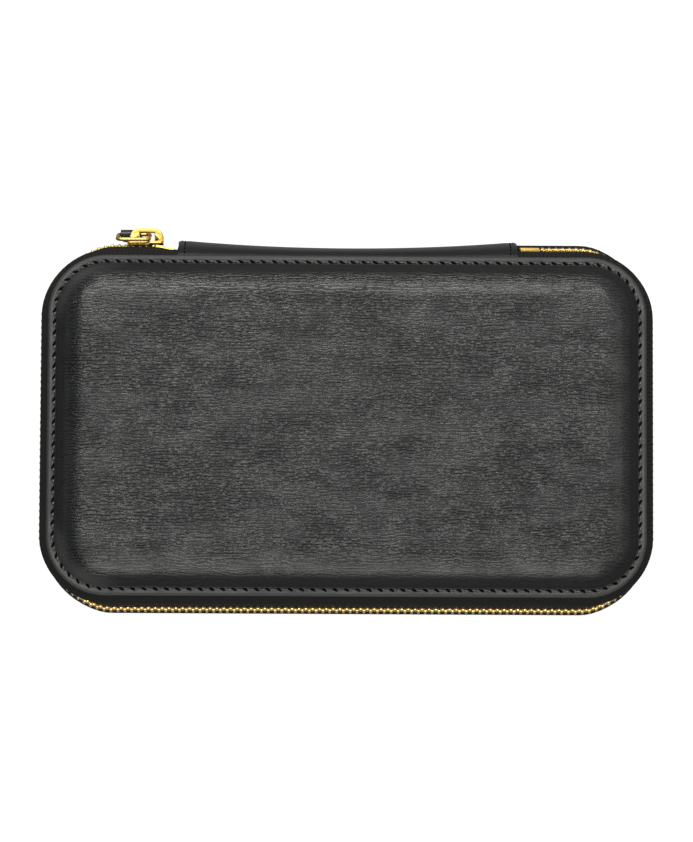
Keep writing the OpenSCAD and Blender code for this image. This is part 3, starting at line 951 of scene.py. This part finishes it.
def zip_tapes():
    sheet = lid_tape_sheet("lid_tape_cloth")
    base = mirror_below(sheet, "base_tape_cloth")
    for sign in (-1, 1):
        point, normal = split_line(sign)
        cut(sheet, point, normal)

    def beside_spine(p):
        point, normal = split_line(1 if p.x > 0 else -1)
        return p.y > 0 and (p - point).dot(normal) < 0

    left = copy_of(sheet, "left_tape_end_cloth")
    right = copy_of(sheet, "right_tape_end_cloth")
    tongues = copy_of(sheet, "tape_tongue_cloth")
    delete_faces(left, lambda p: p.x > -TAPE_START or not beside_spine(p))
    delete_faces(right, lambda p: p.x < TAPE_START or not beside_spine(p))
    delete_faces(tongues, lambda p: abs(p.x) > TAPE_START or not beside_spine(p))
    delete_faces(sheet, beside_spine)
    for piece in (sheet, base, left, right, tongues):
        settle_tape(piece, piece == base)
        thicken(piece, TAPE_T)
        smooth(piece, 50)
    return sheet, base, left, right, tongues


def zip_tooth(name):
    """A clamped tooth: legs on the tape's edge and a wider head that reaches past the middle plane."""
    neck = 0.5
    head = 1.1
    obj = box_block(name, (CHAIN_T, TOOTH_W, LEG_H), (0, 0, LEG_MID_H))
    select_where(obj, "FACE", lambda p: p.z < LEG_MID_H - LEG_H / 2 + 0.1)
    bpy.ops.mesh.extrude_region_move(TRANSFORM_OT_translate={"value": (0, 0, -neck * MM)})
    bpy.ops.transform.resize(value=(1, 1.35, 1))
    bpy.ops.mesh.extrude_region_move(TRANSFORM_OT_translate={"value": (0, 0, -head * MM)})
    bpy.ops.transform.resize(value=(0.85, 0.75, 1))
    clear_selection()
    return round_edges(obj, 0.24, 1)


def teeth_rows():
    length = path_length(ZIP_X, ZIP_Y, ZIP_CORNER_R)
    split = ZIP_X - ZIP_CORNER_R + ZIP_CORNER_R * LID_SPLIT
    clear = LEG_L / 2 + TOOTH_ROOM
    count = math.floor((length - 2 * TOOTH_START) / TOOTH_PITCH)
    rows = {"lid_zip_teeth": [], "base_zip_teeth": [], "hinge_zip_teeth": [], "parting_zip_teeth": []}
    for i in range(count + 1):
        for half in (0, 1):
            s = TOOTH_START + (i + half / 2) * TOOTH_PITCH
            if s > length - TOOTH_START:
                continue
            x, y, angle = along(s, ZIP_X, ZIP_Y, ZIP_CORNER_R)
            if s < TOOTH_START + SLIDE_TRAVEL:
                row = "parting_zip_teeth"
            elif half:
                row = "base_zip_teeth"
            else:
                row = "lid_zip_teeth" if split < s + clear < length - split + 2 * clear else "hinge_zip_teeth"
            rows[row].append(placing(*settled(x, y), MID, angle, half == 1, zip_lean(x, y)))
    return {name: smooth(scatter(name, zip_tooth("tooth"), places), 35) for name, places in rows.items()}


def stop_bars(name):
    length = STOP_L + STOP_MORE
    bar = round_edges(box_block("stop", (CHAIN_T, length, LEG_H), (0, 0, LEG_MID_H)), 0.35, 2)
    places = []
    for sign in (-1, 1):
        x, y = settled(sign * (STOP_START + length / 2), ZIP_Y)
        turn = math.atan2(y - settled(x - 1, ZIP_Y)[1], 1)
        for below in (False, True):
            places.append(placing(x, y, MID, math.pi / 2 + turn, below, zip_lean(x, y)))
    return smooth(scatter(name, bar, places), 35)


# Spine

def shaped_grid(name, columns, rows, place):
    """A flat grid whose points move to where place(u, v) puts them, u and v from 0 to 1."""
    clear_selection()
    bpy.ops.mesh.primitive_grid_add(x_subdivisions=columns, y_subdivisions=rows, size=1)
    obj = added(name)
    for vertex in obj.data.vertices:
        vertex.co = Vector(place(vertex.co.x + 0.5, vertex.co.y + 0.5)) * MM
    return obj


def spine_out(x, height):
    """How far the spine's outer face stands beyond the flange's edge."""
    bulge = SPINE_OUT - SPINE_DIP * (1 - (2 * x / SPINE_L) ** 2)
    from_end = SPINE_L / 2 - abs(x)
    rounding = max(0, 1 - from_end / END_ROUND_L)
    dent = SEAM_DENT * math.exp(-((from_end - SPINE_SEAM) / SEAM_DENT_W) ** 2)
    bulge -= dent + END_ROUND * (1 - math.sqrt(max(0, 1 - rounding ** 2)))
    return bulge * max(0, 1 - (abs(height) / SPINE_TOP) ** SPINE_POWER)


def spine_sheet(name, length, back, tucked):
    """A sheet along the spine, set back from its outer face. A tucked one ends in hems under the flanges."""

    def place(u, v):
        side = 2 * u - 1
        x = math.copysign(1 - (1 - abs(side)) ** 2, side) * length / 2
        turn = 2 * v - 1
        if tucked:
            x *= 1 + (HEM_L / length - 1) * ease((abs(turn) - HEM_FLARE_START) / HEM_FLARE)
        if abs(turn) > HEM_START and tucked:
            inward = (abs(turn) - HEM_START) / (1 - HEM_START) * HEM_W
            return x, HALF_D - HEM_INSET - inward, MID + math.copysign(SPINE_TOP - back, turn)
        height = (turn / HEM_START if tucked else turn * 0.8) * (SPINE_TOP - back)
        return x, HALF_D + spine_out(x, height) - back, MID + height

    return shaped_grid(name, 64, 40, place)


def spine_strip(name):
    sheet = spine_sheet(name, SPINE_L - SPINE_T / 2, SPINE_T / 2, True)
    merged(sheet)
    face_out(sheet, Vector((0, 1, 0)), lambda p: p.y > HALF_D + 2)
    thicken(sheet, SPINE_T)
    return smooth(round_edges(sheet, 0.3, 2, 60), 50)


def spine_end_stitches(name):
    model = stitch("end_stitch", length=1.6, width=0.6, slant=0, height=0.1)
    places = []
    rows = 15
    step = 1.72
    for sign in (-1, 1):
        x = sign * (SPINE_L / 2 - SPINE_SEAM)
        for i in range(rows):
            height = (i - (rows - 1) / 2) * step
            out = spine_out(x, height)
            slope = math.atan2(spine_out(x, height + 0.5) - spine_out(x, height - 0.5), 1)
            places.append(Matrix.Translation(Vector((x, HALF_D + out + 0.05, MID + height)) * MM)
                          @ Matrix.Rotation(-slope - math.pi / 2, 4, "X"))
    return smooth(scatter(name, model, places), 60)


# Slider and pull

def bevelled_copy(node, name, width, segments=2):
    return smooth(round_edges(cad_copy(node, name), width, segments), 35)


def lipped_slider(name):
    """The slider with the lips of its outer wing turned in round the teeth, as far as the tape."""
    low, high = (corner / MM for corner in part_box("slider"))
    inner = ZIP_Y + TAPE_T
    outer = high.y - 0.2
    pieces = [bevelled_copy("slider", name, 0.3)]
    for top in (high.z, 2 * MID - high.z):
        z = top - math.copysign(LIP_T / 2, top - MID)
        place = (low.x + 0.3 + LIP_L / 2, (outer + inner) / 2, z)
        lip = box_block("lip", (LIP_L, outer - inner, LIP_T), place)
        for vertex in lip.data.vertices:
            if vertex.co.y < (inner + 0.1) * MM and abs(vertex.co.z - top * MM) < 0.1 * MM:
                vertex.co.z -= math.copysign(LIP_CHAMFER * MM, top - MID)
        pieces.append(smooth(round_edges(lip, 0.3, 3), 35))
    return joined(name, pieces)


def wire_ring(name):
    low, high = (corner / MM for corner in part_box("pull_ring"))
    centre = (low + high) / 2
    ring = rounded_plate(name, RING_W / 2, RING_H / 2, RING_CORNER_R, 0)
    outline_only(ring)
    choose(ring)
    bpy.ops.object.convert(target="CURVE")
    ring.data.bevel_depth = WIRE_R * MM
    ring.data.bevel_resolution = 4
    bpy.ops.object.convert(target="MESH")
    ring.data.transform(Matrix.Translation(centre * MM) @ Matrix.Rotation(math.pi / 2 + RING_LEAN, 4, "X"))
    return smooth(merged(ring), 60)


def folded_tab(name, width, length, fold_r, thickness):
    """Strip folded over the ring's wire, its two leaves meeting below, rounded at the end."""
    low, high = (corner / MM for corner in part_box("pull_tab"))
    centre_x = (low.x + high.x) / 2 - TAB_SHIFT
    centre_y = (low.y + high.y) / 2
    wire_z = high.z - fold_r - thickness
    leaf = length - fold_r
    arc_r = fold_r + thickness / 2
    arc = arc_r * math.pi

    def place(u, v):
        run = (v - 0.5) * (2 * leaf + arc)
        side = math.copysign(1, run)
        below = abs(run) - arc / 2
        if below < 0:
            turn = abs(run) / arc_r
            out, drop = arc_r * math.sin(turn), -arc_r * math.cos(turn)
        else:
            out, drop = arc_r + (thickness / 2 + 0.02 - arc_r) * ease(below / TAB_NECK), below
        end = max(0, drop - (length - width / 2))
        half = math.sqrt(max(0, (width / 2) ** 2 - end ** 2)) if end else width / 2
        return centre_x + (2 * u - 1) * max(half, 0.9), centre_y + side * out, wire_z - drop

    tab = shaped_grid(name, 8, 60, place)
    merged(tab)
    face_out(tab, Vector((0, 0, 1)), lambda p: p.z > wire_z)
    thicken(tab, thickness)
    return smooth(round_edges(tab, 0.15, 2, 60), 50)


def tab_stitches(name):
    model = cad_copy("pull_tab_stitches", name)
    model.data.transform(Matrix.Translation((-TAB_SHIFT * MM, 0, 0)))
    return smooth(round_edges(model, 0.12, 1), 60)


# Putting the pieces on the frame

def build_halves():
    lid = cover("lid_leather")
    base = mirror_below(lid, "base_leather")
    dress(lid, "leather", "lid", ["lid_cover"], LEATHER, EDGE)
    dress(base, "leather", "base", ["base_cover"], LEATHER, EDGE)
    lid_thread = seam("lid_stitching")
    base_thread = mirror_below(lid_thread, "base_stitching")
    dress(lid_thread, "thread", "lid", ["lid_seam"], THREAD, HOLE_SHADE)
    dress(base_thread, "thread", "base", ["base_seam"], THREAD, HOLE_SHADE)
    lid_cloth = inner_shell("lid_lining_cloth", depth=2.8, thickness=0.6, edge_in=1.04)
    base_cloth = mirror_below(lid_cloth, "base_lining_cloth")
    dress(lid_cloth, "lining", "lid", ["lid_lining"], LINING)
    dress(base_cloth, "lining", "base", ["base_lining"], LINING)


def build_zip():
    lid_tape, base_tape, left_end, right_end, tongues = zip_tapes()
    dress(lid_tape, "zip_tape", "lid", ["lid_tape"], TWILL)
    dress(base_tape, "zip_tape", "base", ["base_tape"], TWILL)
    for piece in (left_end, right_end, tongues):
        dress(piece, "zip_tape", None, ["lid_tape_ends"], TWILL)
    twist_blend(left_end, -1)
    twist_blend(right_end, 1)
    hinge_blend(tongues)
    rows = teeth_rows()
    dress(rows["lid_zip_teeth"], "brass", "lid", ["lid_teeth"], BRASS)
    dress(rows["base_zip_teeth"], "brass", "base", ["base_teeth"], BRASS)
    dress(rows["hinge_zip_teeth"], "brass", "base", ["hinge_side_teeth"], BRASS)
    dress(rows["parting_zip_teeth"], "brass", "base", ["parting_teeth"], BRASS)
    dress(stop_bars("zip_stop_bars"), "brass", "base", ["zip_stops"], SHADED_SATIN_BRASS)


def hinge_blend(obj):
    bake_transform(obj)


def twist_blend(obj, sign):
    """Works out a tape end's run beside the spine, which nothing uses, and puts the end's place into its mesh.
    """
    run = abs(split_line(sign)[0].x) - TWIST_SPARE - SPINE_L / 2
    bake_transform(obj)


def build_spine():
    strip = spine_strip("spine_leather_strip")
    dress(strip, "spine_leather", None, ["spine"], SMOOTH_LEATHER)
    hinge_blend(strip)
    inner = spine_sheet("spine_lining_strip", SPINE_L - 2 * TONGUE_L - 1, SPINE_LINING_BACK, False)
    merged(inner)
    face_out(inner, Vector((0, 1, 0)), lambda p: True)
    thicken(inner, SPINE_LINING_T)
    smooth(inner, 50)
    dress(inner, "lining", None, ["spine_lining"], LINING)
    hinge_blend(inner)
    ends = spine_end_stitches("spine_end_stitching")
    # The end stitches wear the holes' flat black: painted shade along the spine's end seams.
    dress(ends, "thread", None, ["spine_stitches"], HOLE_SHADE)
    hinge_blend(ends)


def build_pull():
    dress(lipped_slider("zip_slider"), "brass", "slider", ["slider"], SHADED_SATIN_BRASS)
    bridge = bevelled_copy("slider_bridge", "zip_slider_bridge", 0.45, 3)
    dress(bridge, "brass", "slider", ["slider_bridge"], SHADED_SATIN_BRASS)
    dress(wire_ring("wire_ring"), "brass", "ring", ["pull_ring"], SHADED_SATIN_BRASS)
    tab = folded_tab("folded_tab", width=7.6, length=17, fold_r=0.85, thickness=0.9)
    dress(tab, "spine_leather", "tab", ["pull_tab"], SMOOTH_LEATHER)
    dress(tab_stitches("tab_stitching"), "thread", "tab", ["pull_tab_stitches"], THREAD)


def build_inside():
    for node in ("left_chip_rack", "middle_chip_rack", "right_chip_rack", "card_box"):
        dress(bevelled_copy(node, node + "_flocked", 0.4), "tray", "base", [node], FLOCK)
    for node in ("lid_board", "base_board"):
        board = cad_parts[node]
        board.data.materials.clear()
        board.data.materials.append(BOARD)


# Floor, light and camera

def white_floor():
    clear_selection()
    bpy.ops.mesh.primitive_plane_add(size=6)
    floor = added("floor")
    finish = Finish("white_floor")
    seen = finish.add("ShaderNodeLightPath", {}, {}, "Is Camera Ray")
    glow = finish.add("ShaderNodeEmission", {}, {"Strength": 1})
    finish.set(Base_Color=finish.mixed(seen, grey(0.15), grey(0.85)), Roughness=0.9, Specular_IOR_Level=0.0)
    finish.mix_in(seen * 0.88, finish.shader, glow)
    floor.data.materials.append(finish.material)


def soft_light(name, place, size, power):
    light = bpy.data.lights.new(name, "AREA")
    light.shape = "RECTANGLE"
    light.size, light.size_y = size
    light.energy = power
    light.color = (1, 0.985, 0.955)
    lamp = bpy.data.objects.new(name, light)
    lamp.location = place
    lamp.rotation_mode = "QUATERNION"
    lamp.rotation_quaternion = (Vector((0, 0, 0.03)) - lamp.location).to_track_quat("-Z", "Y")
    bpy.context.collection.objects.link(lamp)


def studio():
    soft_light("overhead", place=(0, 0.1, 1.4), size=(1.1, 0.5), power=0.1)
    soft_light("front_window", place=(-0.08, -1.015, 0.948), size=(1.65, 1.65), power=40)
    soft_light("back_window", place=(-0.12, 0.9, 1.09), size=(1.65, 0.92), power=58)
    soft_light("right_fill", place=(1.07, 0, 0.9), size=(1.6, 1.15), power=12)
    world = bpy.data.worlds.new("studio")
    bpy.context.scene.world = world
    world.use_nodes = True
    world.node_tree.nodes["Background"].inputs["Color"].default_value = (1, 1, 1, 1)
    world.node_tree.nodes["Background"].inputs["Strength"].default_value = 0.04


def photo_camera():
    tilt = math.radians(5)
    side = math.radians(0.5)
    roll = math.radians(0.28)
    distance = 1.5
    aim = Vector((-0.2, 1.7, MID + FLANGE_H)) * MM
    back = Vector((-math.tan(side), -math.tan(tilt), 1)).normalized()
    camera = bpy.data.cameras.new("photo_camera")
    camera.sensor_width = 36
    camera.lens = 173.4
    obj = bpy.data.objects.new("photo_camera", camera)
    bpy.context.collection.objects.link(obj)
    obj.location = aim + back * distance
    obj.rotation_mode = "QUATERNION"
    right = Vector((0, 1, 0)).cross(back).normalized()
    upright = Matrix((right, back.cross(right), back)).transposed()
    obj.rotation_quaternion = (upright @ Matrix.Rotation(roll, 3, "Z")).to_quaternion()
    bpy.context.scene.camera = obj


build_halves()
build_zip()
build_spine()
build_pull()
build_inside()
white_floor()
studio()
photo_camera()
bpy.context.scene.view_settings.view_transform = "Standard"
